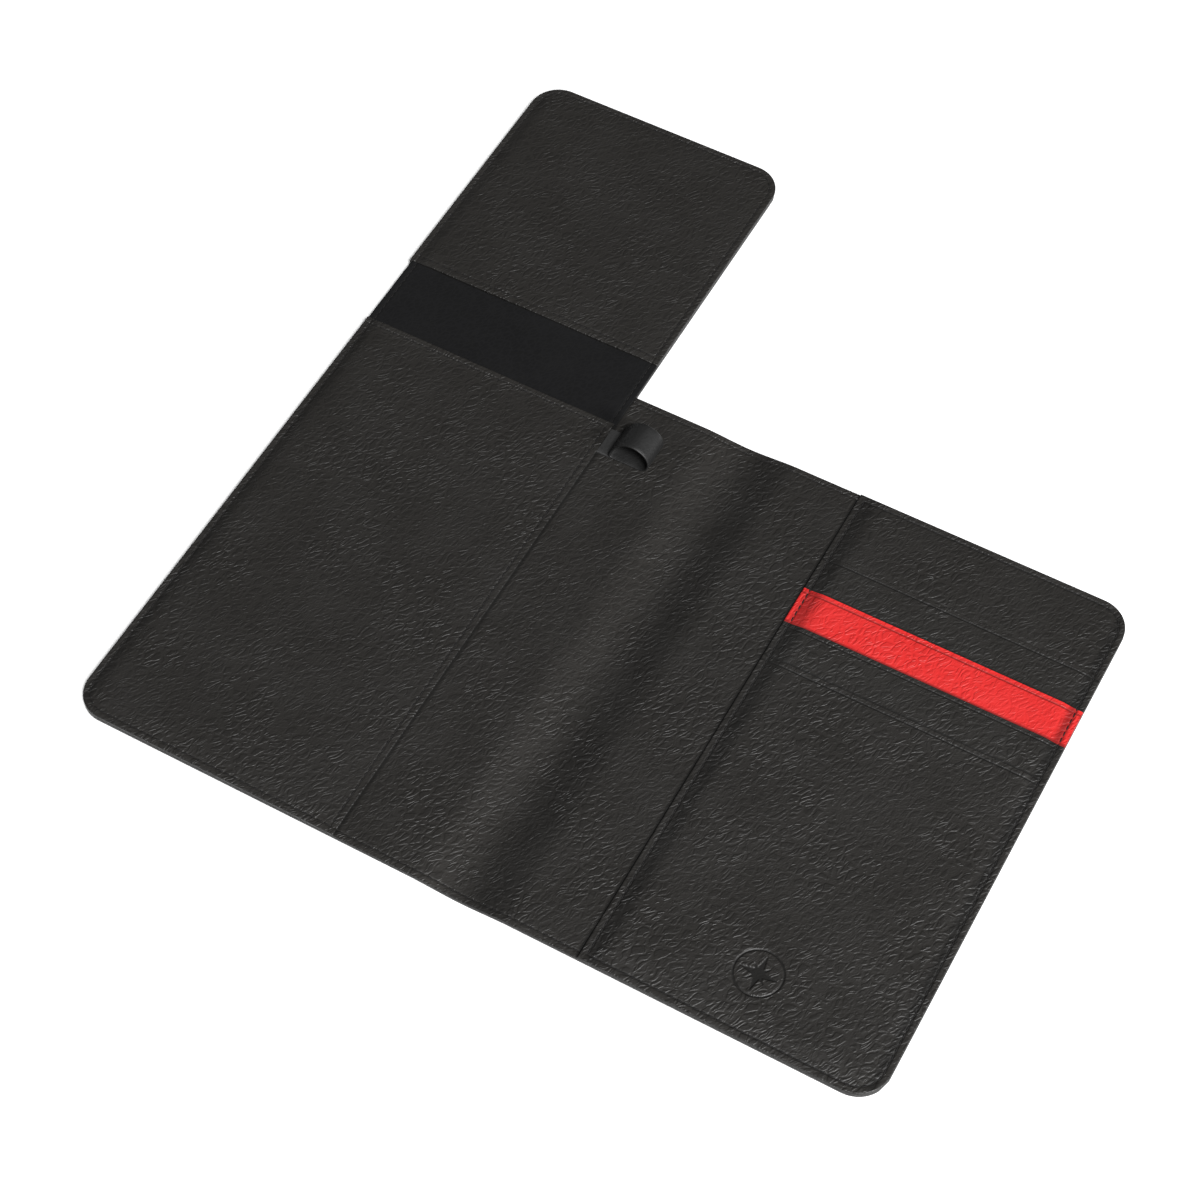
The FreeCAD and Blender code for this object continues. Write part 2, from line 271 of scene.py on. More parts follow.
# ---------------- materials
class Nodes:
    """Short calls for one material's node tree."""

    def __init__(self, name):
        self.material = bpy.data.materials.new(name)
        self.material.use_nodes = True
        self.tree = self.material.node_tree
        self.shader = self.tree.nodes["Principled BSDF"]

    def add(self, kind, **settings):
        node = self.tree.nodes.new("ShaderNode" + kind)
        for key, value in settings.items():
            setattr(node, key, value)
        return node

    def feed(self, socket, value):
        if hasattr(value, "links"):
            self.tree.links.new(value, socket)
        else:
            socket.default_value = value

    def math(self, operation, a, b=0.0):
        node = self.add("Math", operation=operation)
        self.feed(node.inputs[0], a)
        self.feed(node.inputs[1], b)
        return node.outputs[0]

    def vector(self, operation, a, b):
        node = self.add("VectorMath", operation=operation)
        self.feed(node.inputs[0], a)
        self.feed(node.inputs["Scale" if operation == "SCALE" else 1], b)
        return node.outputs[0]

    def ramp(self, value, low, high, out_low=0.0, out_high=1.0):
        """value from low..high to out_low..out_high, with soft ends."""
        node = self.add("MapRange", interpolation_type="SMOOTHSTEP")
        self.feed(node.inputs["Value"], value)
        node.inputs["From Min"].default_value = low
        node.inputs["From Max"].default_value = high
        node.inputs["To Min"].default_value = out_low
        node.inputs["To Max"].default_value = out_high
        return node.outputs["Result"]

    def noise(self, place, scale, detail, colour=False):
        node = self.add("TexNoise")
        self.feed(node.inputs["Vector"], place)
        node.inputs["Scale"].default_value = scale
        node.inputs["Detail"].default_value = detail
        return node.outputs["Color" if colour else "Fac"]

    def cells(self, place, scale):
        """Distance from the nearest crease between cells."""
        node = self.add("TexVoronoi", feature="DISTANCE_TO_EDGE")
        self.feed(node.inputs["Vector"], place)
        node.inputs["Scale"].default_value = scale
        return node.outputs["Distance"]

    def mix(self, share, a, b):
        """A colour between a and b: a colour mix has its share at socket 0 and its colours at 6 and 7."""
        node = self.add("Mix", data_type="RGBA")
        self.feed(node.inputs[0], share)
        self.feed(node.inputs[6], a)
        self.feed(node.inputs[7], b)
        return node.outputs[2]

    def attribute(self, name, output):
        return self.add("Attribute", attribute_name=name).outputs[output]

    def bump(self, height, distance_mm):
        node = self.add("Bump")
        node.inputs["Distance"].default_value = distance_mm * MM
        node.inputs["Strength"].default_value = 1.0
        self.feed(node.inputs["Height"], height)
        self.feed(self.shader.inputs["Normal"], node.outputs["Normal"])


def tint(colour, share):
    """The colour scaled, with its alpha of 1."""
    return (colour[0] * share, colour[1] * share, colour[2] * share, 1)


def leather(name, colour, grain=1.0, relief=0.19, specular=0.40, crease_highlight=1.25):
    """Pebbled leather: two sizes of cell with creases between, and fine pores.

    A higher grain is a finer pattern, relief is the bump's height in millimetres, and the last argument is how
    many times lighter the creases are painted, a painted highlight. The attribute for pressed lines flattens the
    pattern and paints it darker as painted shade, and the shade attribute scales the colour by painted light and
    shade.
    """
    n = Nodes(name)
    place = n.vector("SCALE", n.attribute("rest", "Vector"), 1 / MM)

    # The pattern is bent by slow noise and drawn out along one direction
    wander = n.vector("SUBTRACT", n.noise(place, 0.16 * grain, 2.0, colour=True), (0.5, 0.5, 0.5))
    bent = n.vector("ADD", place, n.vector("SCALE", wander, 3.4 / grain))
    flow = n.add("Mapping", vector_type="TEXTURE")
    n.feed(flow.inputs["Vector"], bent)
    flow.inputs["Rotation"].default_value = (0, 0, math.radians(WRINKLE_DEGREES))
    flow.inputs["Scale"].default_value = (1.9, 0.85, 1.0)

    # Height: wrinkles and large cells, small cells, and pores, in zones of more and less relief
    wrinkle = n.math("ABSOLUTE", n.math("SUBTRACT", n.noise(flow.outputs[0], 0.34 * grain, 0.0), 0.5))
    large = n.ramp(wrinkle, 0.0, 0.07)
    cell = n.ramp(n.cells(flow.outputs[0], 0.36 * grain), 0.0, 0.24)
    large = n.math("MULTIPLY", n.ramp(large, 0, 1, 0.45, 1.0), n.ramp(cell, 0, 1, 0.1, 1.0))
    small = n.ramp(n.cells(flow.outputs[0], 0.80 * grain), 0.0, 0.26)
    pores = n.noise(place, 2.6 * grain, 3.0)
    zones = n.ramp(n.noise(place, 0.035, 1.0), 0.35, 0.65)
    large_height = n.math("MULTIPLY", large, n.ramp(zones, 0, 1, 0.50, 0.85))
    small_height = n.math("MULTIPLY", small, n.ramp(zones, 0, 1, 0.20, 0.12))
    height = n.math("ADD", large_height, small_height)
    height = n.math("ADD", height, n.math("MULTIPLY", pores, 0.07))
    mark = n.attribute("mark", "Fac")
    height = n.math("MULTIPLY", height, n.math("SUBTRACT", 1.0, n.math("MULTIPLY", mark, 0.85)))
    n.bump(height, relief)

    # Colour: creases painted lighter as a painted highlight, faint clouds, then the painted light and shade
    crease = n.mix(n.ramp(large, 0.0, 0.7), tint(colour, crease_highlight), tint(colour, 1.0))
    cloud = n.ramp(n.noise(place, 0.05, 3.0), 0.3, 0.7, 0.0, 1.0)
    surface = n.mix(n.math("MULTIPLY", cloud, 0.4), crease, tint(colour, 1.15))
    shaded = n.vector("SCALE", surface, n.attribute("shade", "Fac"))
    # Pressed lines are painted darker, a painted shade in grooves, creases and gaps
    pressed = n.mix(mark, shaded, tint(colour, 0.45))
    n.feed(n.shader.inputs["Base Color"], pressed)

    patches = n.math("ADD", n.math("MULTIPLY", pores, 0.8), n.math("MULTIPLY", cloud, 0.2))
    n.feed(n.shader.inputs["Roughness"], n.ramp(patches, 0.3, 0.7, 0.44, 0.56))
    n.shader.inputs["Specular IOR Level"].default_value = specular
    return n.material


def thread_material():
    """Black thread with the diagonal ridges of its twist."""
    n = Nodes("thread")
    place = n.vector("SCALE", n.attribute("rest", "Vector"), 1 / MM)
    twist = n.add("TexWave", bands_direction="DIAGONAL")
    n.feed(twist.inputs["Vector"], place)
    twist.inputs["Scale"].default_value = 1.6
    twist.inputs["Distortion"].default_value = 1.0
    n.bump(twist.outputs["Fac"], 0.06)
    n.feed(n.shader.inputs["Base Color"], n.mix(twist.outputs["Fac"], THREAD_DARK, THREAD_LIGHT))
    n.shader.inputs["Roughness"].default_value = 0.7
    n.shader.inputs["Specular IOR Level"].default_value = 0.2
    return n.material


def hidden_material(name, dark, light, scale, roughness, metallic=0.0):
    """For the boards, strips and discs sealed inside: a fine speckle."""
    n = Nodes(name)
    coordinates = n.add("TexCoord").outputs["Object"]
    fleck = n.noise(coordinates, scale, 4.0)
    n.feed(n.shader.inputs["Base Color"], n.mix(n.ramp(fleck, 0.35, 0.65), dark, light))
    n.feed(n.shader.inputs["Roughness"], n.ramp(fleck, 0.3, 0.7, roughness - 0.08, roughness + 0.08))
    n.shader.inputs["Metallic"].default_value = metallic
    n.bump(fleck, 0.05)
    return n.material


# ---------------- shape helpers
def smooth(t):
    """0 up to t = 0, 1 from t = 1, and a soft step between."""
    t = np.clip(t, 0, 1)
    return t * t * (3 - 2 * t)


def sag(x):
    """How far the spine valley drops at x."""
    t = np.clip(np.abs(x - SPINE_MIDDLE) / VALLEY_HALF_WIDTH, 0, 1)
    return PANEL_UNDERSIDE * (1 + np.cos(math.pi * t)) / 2


def drift(x, y, size, seed):
    """A gentle, repeatable unevenness between about -1 and 1."""
    rng = np.random.RandomState(seed)
    total = 0
    for _ in range(5):
        angle = rng.uniform(0, 2 * math.pi)
        turn = rng.uniform(0, 2 * math.pi)
        wave = size * rng.uniform(0.7, 1.6)
        total = total + np.sin((x * math.cos(angle) + y * math.sin(angle)) * 2 * math.pi / wave + turn)
    return total / 3


def stations(a, b, step, fine_start=True, fine_end=True, extra=()):
    """Grid lines from a to b: close together at a fine end, and in each extra (from, to, step)."""
    start = [a + e for e in EDGE_STEPS] if fine_start else [a]
    finish = [b - e for e in reversed(EDGE_STEPS)] if fine_end else [b]
    count = max(1, math.ceil((finish[0] - start[-1]) / step))
    lines = start + list(np.linspace(start[-1], finish[0], count + 1)[1:-1]) + finish
    for low, high, fine in extra:
        lines = [v for v in lines if not low - fine / 2 < v < high + fine / 2]
        lines += list(np.linspace(low, high, max(1, math.ceil((high - low) / fine)) + 1))
    return np.array(sorted(lines))


def edge_distance(x, y, rect, sides, rounded):
    """Distance inwards from the named sides (w, e, s, n) of a rectangle with round corners."""
    x0, x1, y0, y1 = rect
    d = np.full(np.shape(x), np.inf)
    for side, value in (("w", x - x0), ("e", x1 - x), ("s", y - y0), ("n", y1 - y)):
        if side in sides:
            d = np.minimum(d, value)
    for corner in rounded:
        cx = x0 + CORNER if "w" in corner else x1 - CORNER
        cy = y0 + CORNER if "s" in corner else y1 - CORNER
        inside_x = x < cx if "w" in corner else x > cx
        inside_y = y < cy if "s" in corner else y > cy
        d = np.where(inside_x & inside_y, CORNER - np.hypot(x - cx, y - cy), d)
    return d


def roll(d, radius):
    """How far a rolled edge drops at distance d inside the outline."""
    t = np.clip(radius - d, 0, radius)
    return radius - np.sqrt(radius * radius - t * t)


def groove(d, at, depth, half_width):
    """A pressed line that follows an edge."""
    return -depth * smooth(1 - np.abs(d - at) / half_width)


def round_corners(xs, ys, rounded):
    """The grid's points, pushed inwards near each rounded corner."""
    x, y = np.meshgrid(xs, ys)
    reach = 3.2 * CORNER
    for corner in rounded:
        depth = y - ys[0] if "s" in corner else ys[-1] - y
        inset = roll(depth, CORNER)
        side = x - xs[0] if "w" in corner else xs[-1] - x
        push = inset * np.clip(1 - side / reach, 0, 1)
        x = x + push if "w" in corner else x - push
    return x, y


def panel_faces(cells, columns, count):
    """Quads over and under each cell of the grid, and walls where a cell has no neighbour."""
    j, i = np.nonzero(cells)
    a = j * columns + i
    b, c, d = a + 1, a + 1 + columns, a + columns
    faces = [np.stack([a, b, c, d], 1), np.stack([d, c, b, a], 1) + count]
    padded = np.pad(cells, 1)
    for dj, di, u, v in ((-1, 0, a, b), (0, 1, b, c), (1, 0, c, d), (0, -1, d, a)):
        open_side = ~padded[j + 1 + dj, i + 1 + di]
        u, v = u[open_side], v[open_side]
        faces.append(np.stack([v, u, u + count, v + count], 1))
    return np.concatenate(faces)


def grid_mesh(name, xs, ys, top, under, rounded=(), keep=None, shade=None, mark=None, warp=None):
    """A closed leather panel: a top and an underside on one grid, joined by walls round the outline.

    keep says which grid cells the panel has, warp moves the finished points in x, and the two tone
    functions give its painted light and shade and the pressed lines that are painted darker as shade.
    """
    x, y = round_corners(xs, ys, rounded)
    z_top, z_under = top(x, y), under(x, y)
    rows, columns = x.shape
    count = rows * columns
    shown_x = x if warp is None else warp(x, y)
    points = np.empty((2 * count, 3))
    points[:count] = np.stack([shown_x, y, z_top], -1).reshape(-1, 3)
    points[count:] = np.stack([shown_x, y, z_under], -1).reshape(-1, 3)
    cells = np.ones((rows - 1, columns - 1), bool)
    if keep is not None:
        cells = keep((xs[:-1] + xs[1:])[None, :] / 2, (ys[:-1] + ys[1:])[:, None] / 2)
    faces = panel_faces(cells, columns, count)
    used = np.unique(faces)
    place = np.full(2 * count, -1)
    place[used] = np.arange(len(used))
    tones = {
        "shade": np.ones(x.shape) if shade is None else shade(x, y),
        "mark": np.zeros(x.shape) if mark is None else mark(x, y),
    }
    tones = {k: np.concatenate([v.ravel(), v.ravel()])[used] for k, v in tones.items()}
    return mesh_piece(name, points[used], place[faces].tolist(), tones, SHARP_DEGREES)


def mesh_piece(name, points, faces, tones=None, sharp_degrees=None):
    """A mesh object in metres, with its rest place and its painted tones kept for its pattern."""
    mesh = bpy.data.meshes.new(name)
    points = np.asarray(points) * MM
    mesh.from_pydata(points.tolist(), [], faces)
    mesh.validate()
    rest = mesh.attributes.new("rest", "FLOAT_VECTOR", "POINT")
    rest.data.foreach_set("vector", points.astype(np.float32).ravel())
    for key, values in (tones or {}).items():
        attribute = mesh.attributes.new(key, "FLOAT", "POINT")
        attribute.data.foreach_set("value", values.astype(np.float32))
    mesh.shade_smooth()
    if sharp_degrees:
        mesh.set_sharp_from_angle(angle=math.radians(sharp_degrees))
    piece = bpy.data.objects.new(name, mesh)
    bpy.context.scene.collection.objects.link(piece)
    return piece


def cross_fold(piece, fold):
    """Works out where the bend over a fold would start and end, and bakes the piece's place; the piece does not
    bend.
    """
    x, y, z = FOLDS[fold]
    along_y = fold in ("band_fold", "flap_fold")
    start, end = (
        (x * MM, (y + reach) * MM, z * MM) if along_y else ((x + reach) * MM, y * MM, z * MM)
        for reach in FOLD_ZONES[fold]
    )
    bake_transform(piece)
    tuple(start)
    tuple(end)


def dress(piece, material, slot, body=None, fold=None, nodes=()):
    """Gives a piece its material, hangs it from its body or bakes its place at its fold, and hides the CAD nodes
    it stands for.
    """
    piece.data.materials.append(material)
    if fold:
        cross_fold(piece, fold)
    else:
        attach(piece, body)
    if nodes:
        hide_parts(*nodes)


# ---------------- stitching
def run_lengths(line):
    """How far along the line each of its points lies."""
    return np.r_[0, np.cumsum(np.linalg.norm(np.diff(line, axis=0), axis=1))]


def place_at(line, lengths, s):
    """The place at length s along the line."""
    return np.array([np.interp(s, lengths, line[:, c]) for c in (0, 1)])


def rounded_path(corners, radius=0.0):
    """Points close together along straight runs, with each inner corner turned on an arc."""
    corners = [np.array(c, float) for c in corners]
    points = [corners[0]]
    for before, corner, after in zip(corners, corners[1:], corners[2:]):
        to_before = (before - corner) / np.linalg.norm(before - corner)
        to_after = (after - corner) / np.linalg.norm(after - corner)
        centre = corner + (to_before + to_after) * radius
        steps = np.linspace(0, math.pi / 2, 12)
        points += [centre - to_after * radius * math.cos(t) - to_before * radius * math.sin(t) for t in steps]
    points.append(corners[-1])
    points = np.array(points)
    lengths = run_lengths(points)
    along = np.linspace(0, lengths[-1], max(2, int(lengths[-1] / PATH_STEP)))
    return place_at(points, lengths, along).T


def thread_ring(line, lengths, s, reach, width, surface, side):
    """One ring of a thread's points, round the place at length s along the line.

    The thread leans a little across its line, stands proud in its middle and sinks at its ends.
    """
    before, after = max(s - 0.2, 0), min(s + 0.2, lengths[-1])
    ahead = place_at(line, lengths, after) - place_at(line, lengths, before)
    ahead /= math.hypot(*ahead)
    sideways = np.array([-ahead[1], ahead[0]])
    x, y = place_at(line, lengths, s) + sideways * (THREAD_LEAN * reach)
    z = float(surface(np.array(x), np.array(y)))
    radius = THREAD_RADIUS * max(width, THREAD_THINNEST)
    sink = THREAD_RADIUS * (0.15 - 1.5 * abs(reach) ** 3)
    ring = []
    for m in range(THREAD_SIDES):
        a = 2 * math.pi * m / THREAD_SIDES
        across = math.cos(a) * radius
        up = math.sin(a) * radius * THREAD_FLATNESS + sink
        ring.append((x + sideways[0] * across, y + sideways[1] * across, z + side * up))
    return ring


def stitches(name, runs, surface, side=1):
    """Short thread lengths along the runs, on a surface's upper (1) or lower (-1) face."""
    points, faces = [], []
    for run in runs:
        lengths = run_lengths(run)
        count = max(1, round(lengths[-1] / THREAD_PITCH))
        for k in range(count):
            middle = (k + 0.5) * lengths[-1] / count
            for t, (reach, width) in enumerate(THREAD_RINGS):
                s = np.clip(middle + reach * THREAD_LENGTH, 0, lengths[-1])
                first = len(points)
                points += thread_ring(run, lengths, s, reach, width, surface, side)
                ring = list(range(first, first + THREAD_SIDES))
                if t == 0:
                    faces.append(ring[::side])
                elif t == len(THREAD_RINGS) - 1:
                    faces.append(ring[::-side])
                if t:
                    before = first - THREAD_SIDES
                    for m in range(THREAD_SIDES):
                        after = (m + 1) % THREAD_SIDES
                        faces.append([before + m, first + m, first + after, before + after][::-side])
    return mesh_piece(name, points, faces)


# ---------------- distances from each outline
def spread_distance(x, y):
    return edge_distance(x, y, SPREAD, "wesn", ("sw", "se", "ne"))


def cover_distance(x, y):
    """Distance inside the whole outline: the two covers and the flap together."""
    flap = edge_distance(x, y, FLAP_AND_BACK, "wesn", ("sw", "nw", "ne"))
    return np.maximum(spread_distance(x, y), flap)


def sleeve_distance(x, y):
    return edge_distance(x, y, SLEEVE, "ws", ("sw",))


def band_distance(x):
    return np.minimum(x - LEFT, FLAP_RIGHT - x)


def flap_distance(x, y):
    return edge_distance(x, y, FLAP_PANEL, "wen", ("nw", "ne"))


def card_distance(x, y):
    return edge_distance(x, y, CARD_PANEL, "wesn", ("se", "ne"))


# ---------------- surfaces and painted tones
def stitched(d, rolled=0.45):
    """A border's relief: its rolled edge and the line that the stitches press."""
    return -roll(d, rolled) + groove(d, STITCH, STITCH_DEPTH, STITCH_HALF_WIDTH)


def ripple_share(d):
    """Unevenness starts 3 mm inside a seam and is full 8 mm further in."""
    return smooth((d - 3) / 8)


def edge_tone(d):
    """Painted tone: dark on the cut edge, and lighter just inside it."""
    return 1 - 0.5 * smooth(1 - d / 0.5) + 0.25 * smooth(1 - np.abs(d - 1.0) / 0.6)


def dip_shade(d, depth=0.4, at=3.7, width=1.7):
    """Painted shade where the leather dips just inside a seam."""
    return 1 - depth * np.exp(-(((d - at) / width) ** 2))


def outer_face(x, y):
    """The outer leather's outside, which is its underside as it lies."""
    d = cover_distance(x, y)
    return PANEL_UNDERSIDE - sag(x) + roll(d, OUTER_ROLL) - groove(d, STITCH, STITCH_DEPTH, STITCH_HALF_WIDTH)


def outer_back(x, y):
    """The inner side of the outer leather: thin over the board, turned up at the edge."""
    d = cover_distance(x, y)
    turned = smooth((TURNED_EDGE - d) / 0.5)
    return BOARD_Z - sag(x) + (LINING_UNDERSIDE - BOARD_Z) * turned - roll(d, INNER_ROLL)


def outer_shade(x, y):
    return edge_tone(cover_distance(x, y))


def flap_outer_back(x, y):
    """The outer leather's inner side on the flap: its turned edge rises to meet the flap's lining."""
    turned = smooth((TURNED_EDGE - cover_distance(x, y)) / 0.5)
    return outer_back(x, y) + 0.75 * smooth((y - FLAP_HEM_Y) / 0.8) * turned


def flap_overhang(x, y):
    """The flap's outer leather is a little wider than the band on its left side."""
    return x - FLAP_OVERHANG * smooth((y - FLAP_HEM_Y + 2.5) / 2.5) * np.clip(1 - (x - LEFT) / 20, 0, 1)


def lining_face(x, y):
    d = spread_distance(x, y)
    ripple = 0.10 * drift(x, y, 34.0, 3) * ripple_share(d)
    return LINING_Z - sag(x) + stitched(d) + ripple


def lining_shade(x, y):
    """Edge tone, and a tone painted on the valley's flanks that adds to what the light alone gives."""
    rising = sag(x - 0.5) - sag(x + 0.5)
    flank = 1 - np.where(rising > 0, FLANK_DARKER, FLANK_LIGHTER) * rising
    return edge_tone(spread_distance(x, y)) * flank


def lining_mark(x, y):
    """Pressed smooth and painted darker, a painted shadow, in the gaps beside the sleeve's hem and the card
    panel's seam.
    """
    beside_sleeve = smooth(1 - (x - SLEEVE_RIGHT) / 1.6) * (x > SLEEVE_RIGHT - 0.5)
    beside_cards = smooth(1 - (CARD_LEFT - x) / 1.3) * (x < CARD_LEFT + 0.5)
    return np.maximum(beside_sleeve, beside_cards)


def seam_mark(d):
    """Pressed smooth and painted darker, a painted shade, along the line that the stitches pull down."""
    return 0.7 * smooth(1 - np.abs(d - STITCH) / 0.7)


def lining_back(x, y):
    return LINING_UNDERSIDE - sag(x) + roll(spread_distance(x, y), INNER_ROLL)


def sleeve_face(x, y):
    """The sleeve puffs up between its seams, settles at its hems and climbs over the band's end."""
    d = sleeve_distance(x, y)
    side, top = SLEEVE_RIGHT - x, SLEEVE_TOP - y
    hem = np.minimum(side, top)
    puff = 0.30 * smooth((d - PUFF_START) / 5) + 0.42 * smooth((x - LEFT - PUFF_START) / 8)
    settle = smooth(side / 16) * smooth(top / 16)
    over_band = 0.32 * smooth((y - BAND_TUCKED_Y + 3) / 2.5)
    relief = stitched(d) - roll(hem, 0.4) + groove(hem, HEM_STITCH, 0.20, 0.5)
    ripple = 0.09 * drift(x, y, 42.0, 5) * ripple_share(d)
    return SLEEVE_BORDER_Z + puff * (0.45 + 0.55 * settle) + relief + over_band + ripple


def sleeve_back(x, y):
    return LINING_Z + 0.28 * smooth((y - BAND_TUCKED_Y + 2) / 1.5) + 0 * x


def sleeve_shade(x, y):
    # Edge tones, with painted shade where the leather dips just inside the left seam
    hem = np.minimum(SLEEVE_RIGHT - x, SLEEVE_TOP - y)
    return edge_tone(sleeve_distance(x, y)) * edge_tone(hem) * dip_shade(x - LEFT, 0.45)


def band_face(x, y):
    d = band_distance(x)
    wave = 0.12 * drift(x * 0.35, y, 17.0, 11) * smooth((d - 3) / 10)
    return BAND_TOP_Z + stitched(d) + wave


def band_back(x, y):
    return LINING_UNDERSIDE + roll(band_distance(x), INNER_ROLL) + 0 * y


def flap_face(x, y):
    d = flap_distance(x, y)
    hem = y - FLAP_HEM_Y
    puff = 0.30 * smooth((d - PUFF_START) / 6)
    relief = stitched(d) - roll(hem, 0.4) + groove(hem, FLAP_HEM_STITCH, 0.20, 0.5)
    ripple = 0.08 * drift(x, y, 40.0, 7) * ripple_share(d)
    return SLEEVE_Z + puff + relief + ripple


def flap_shade(x, y):
    # Edge tones, with painted shade where the leather dips just inside the left seam
    return edge_tone(flap_distance(x, y)) * edge_tone(y - FLAP_HEM_Y) * dip_shade(x - LEFT, 0.3)


def level(z):
    """A flat face or underside at height z."""
    return lambda x, y: z + 0 * x


def card_sides(x):
    """How far in from the card panel's left and right seams, and how freely the leather puffs there."""
    d = np.minimum(x - CARD_LEFT, RIGHT - x)
    return d, smooth((d - PUFF_START) / 6)


def card_face(x, y):
    """The backing panel: it shows above the slots, and sinks behind them."""
    d = card_distance(x, y)
    behind = smooth((SLOT_EDGES[0] - y) / 1.2)
    puff = 0.22 * smooth((d - PUFF_START) / 7)
    return CARD_BORDER_Z + stitched(d) + puff * (1 - behind) - 0.48 * behind


def slot_lift(s):
    """How far a strip stands over the panel at distance s below its top edge."""
    return 0.12 + 0.62 * np.clip(1 - s / (SLOT_PITCH + 3.0), 0, 1)


def strip_face(edge):
    """The face of the slot strip whose top edge is at y = edge."""

    def face(x, y):
        s = edge - y
        d, free = card_sides(x)
        crown = 0.16 * np.sin(math.pi * np.clip(s / SLOT_PITCH, 0, 1))
        relief = stitched(d) - roll(s, 0.35) + groove(s, HEM_FOLD, 0.20, 0.45) * free
        tucked = 0.46 * smooth((s - SLOT_PITCH - 0.1) / 0.5)
        return STRIP_BORDER_Z + free * (slot_lift(s) + crown) + relief - tucked

    return face


def four_points(u, v, reach, half_width):
    """Above 0 inside a star of four thin points along u and v."""
    return np.maximum(
        1 - np.abs(u) / half_width - np.abs(v) / reach, 1 - np.abs(u) / reach - np.abs(v) / half_width
    )


def compass_rose(x, y):
    """1 on the pressed compass rose and its ring, 0 elsewhere."""
    u, v = x - ROSE_X, y - ROSE_Y
    p, q = (u + v) / math.sqrt(2), (v - u) / math.sqrt(2)
    ring = 0.5 - np.abs(np.hypot(u, v) - ROSE_RING)
    star = np.maximum(four_points(u, v, *ROSE_LONG), four_points(p, q, *ROSE_SHORT))
    return np.maximum(smooth(ring / 0.3), smooth(star / 0.16))


def pocket_face(x, y):
    """The large pocket: it puffs up away from its seams, with the rose pressed in."""
    s = SLOT_EDGES[3] - y
    d = edge_distance(x, y, POCKET, "wes", ("se",))
    free = smooth((d - PUFF_START) / 6)
    _, side_free = card_sides(x)
    relief = stitched(d) - roll(s, 0.35) + groove(s, HEM_FOLD, 0.20, 0.45) * side_free
    ripple = 0.10 * drift(x, y, 38.0, 9) * free
    puff = 0.30 * smooth(s / 30)
    return STRIP_BORDER_Z + free * (slot_lift(s) + puff) + relief + ripple - 0.24 * compass_rose(x, y)


def gap_above(y, edge, reach):
    """1 just above a slot's edge, fading to 0 at reach: where the gap's painted shadow falls."""
    above = y - edge
    return smooth(1 - above / reach) * smooth((above + 0.25) / 0.2)


def card_shade(x, y):
    """The edge tone, with painted shade in the dips by the seams and a painted shadow in the gap above each slot's
    edge.
    """
    shade = edge_tone(card_distance(x, y)) * dip_shade(x - CARD_LEFT, 0.50, 5.0, 3.6) * dip_shade(RIGHT - x, 0.55)
    for edge in SLOT_EDGES:
        shade = shade * (1 - 0.75 * gap_above(y, edge, 1.1))
    return shade


def card_mark(x, y):
    """Pressed smooth and painted darker as painted shade along the seams and in the gap above each slot edge."""
    mark = seam_mark(card_distance(x, y))
    for edge in SLOT_EDGES:
        mark = np.maximum(mark, gap_above(y, edge, 1.5))
    return mark


def strip_shade(edge):
    """A painted highlight along the strip's rolled top edge and painted shade in the crease of its hem."""

    def shade(x, y):
        s = edge - y
        below = card_shade(x, np.minimum(y, edge - 0.5))
        crease = smooth(1 - np.abs(s - HEM_FOLD) / 0.6)
        return below * (1 + 0.35 * smooth(1 - s / 1.2)) * (1 - 0.45 * crease)

    return shade


def strip_mark(edge):
    """Pressed smooth and painted darker as the panel is, and in the crease of the strip's hem as painted shade."""

    def mark(x, y):
        crease = smooth(1 - np.abs(edge - y - HEM_FOLD) / 0.6)
        return np.maximum(card_mark(x, np.minimum(y, edge - 0.5)), 0.9 * crease)

    return mark


def strip_back(face):
    """An underside that follows a strip's face, no lower than what the strip lies on."""

    def under(x, y):
        top = face(x, y)
        return np.minimum(top - 0.08, np.maximum(top - STRIP_THICKNESS, STRIP_FLOOR_Z))

    return under


# ---------------- the pieces
def outer_leather(material):
    """The one outer skin, in four pieces that each lie across one fold."""
    valley = (SPINE_MIDDLE - VALLEY_HALF_WIDTH, SPINE_MIDDLE, VALLEY_STEP)
    beside_flap = (FLAP_RIGHT, FLAP_RIGHT + 8, 1.0)
    xs = stations(LEFT, SPINE_MIDDLE, OUTER_STEP, fine_end=False, extra=[beside_flap, valley])
    ys = stations(BOTTOM, TOP, OUTER_STEP, extra=[(SEAM_Y - 2, SEAM_Y, 2.0)])
    back = grid_mesh(
        "back_cover_outer",
        xs,
        ys,
        outer_back,
        outer_face,
        ("sw",),
        keep=lambda x, y: (x > FLAP_RIGHT) | (y < SEAM_Y),
        shade=outer_shade,
    )
    dress(back, material, "leather_outer", fold="spine_fold", nodes=["back_cover_leather"])

    valley = (SPINE_MIDDLE, SPINE_MIDDLE + VALLEY_HALF_WIDTH, VALLEY_STEP)
    xs = stations(SPINE_MIDDLE, RIGHT, OUTER_STEP, fine_start=False, extra=[valley])
    ys = stations(BOTTOM, TOP, OUTER_STEP)
    front = grid_mesh("front_cover_outer", xs, ys, outer_back, outer_face, ("se", "ne"), shade=outer_shade)
    nodes = ["front_cover_leather", "spine_leather"]
    dress(front, material, "leather_outer", fold="front_cover_fold", nodes=nodes)

    xs = stations(LEFT, FLAP_RIGHT, OUTER_STEP)
    ys = stations(SEAM_Y, BAND_MIDDLE, OUTER_BAND_STEP, fine_start=False, fine_end=False)
    lower = grid_mesh("band_outer_lower", xs, ys, outer_back, outer_face, shade=outer_shade)
    dress(lower, material, "leather_outer", fold="band_fold", nodes=["flap_band_leather"])

    hem = (BAND_MIDDLE, FLAP_HEM_Y + 2, OUTER_BAND_STEP)
    ys = stations(BAND_MIDDLE, FLAP_TOP, OUTER_STEP, fine_start=False, extra=[hem])
    looks = {"shade": outer_shade, "warp": flap_overhang}
    upper = grid_mesh("flap_outer", xs, ys, flap_outer_back, outer_face, ("nw", "ne"), **looks)
    dress(upper, material, "leather_outer", fold="flap_fold", nodes=["flap_leather"])


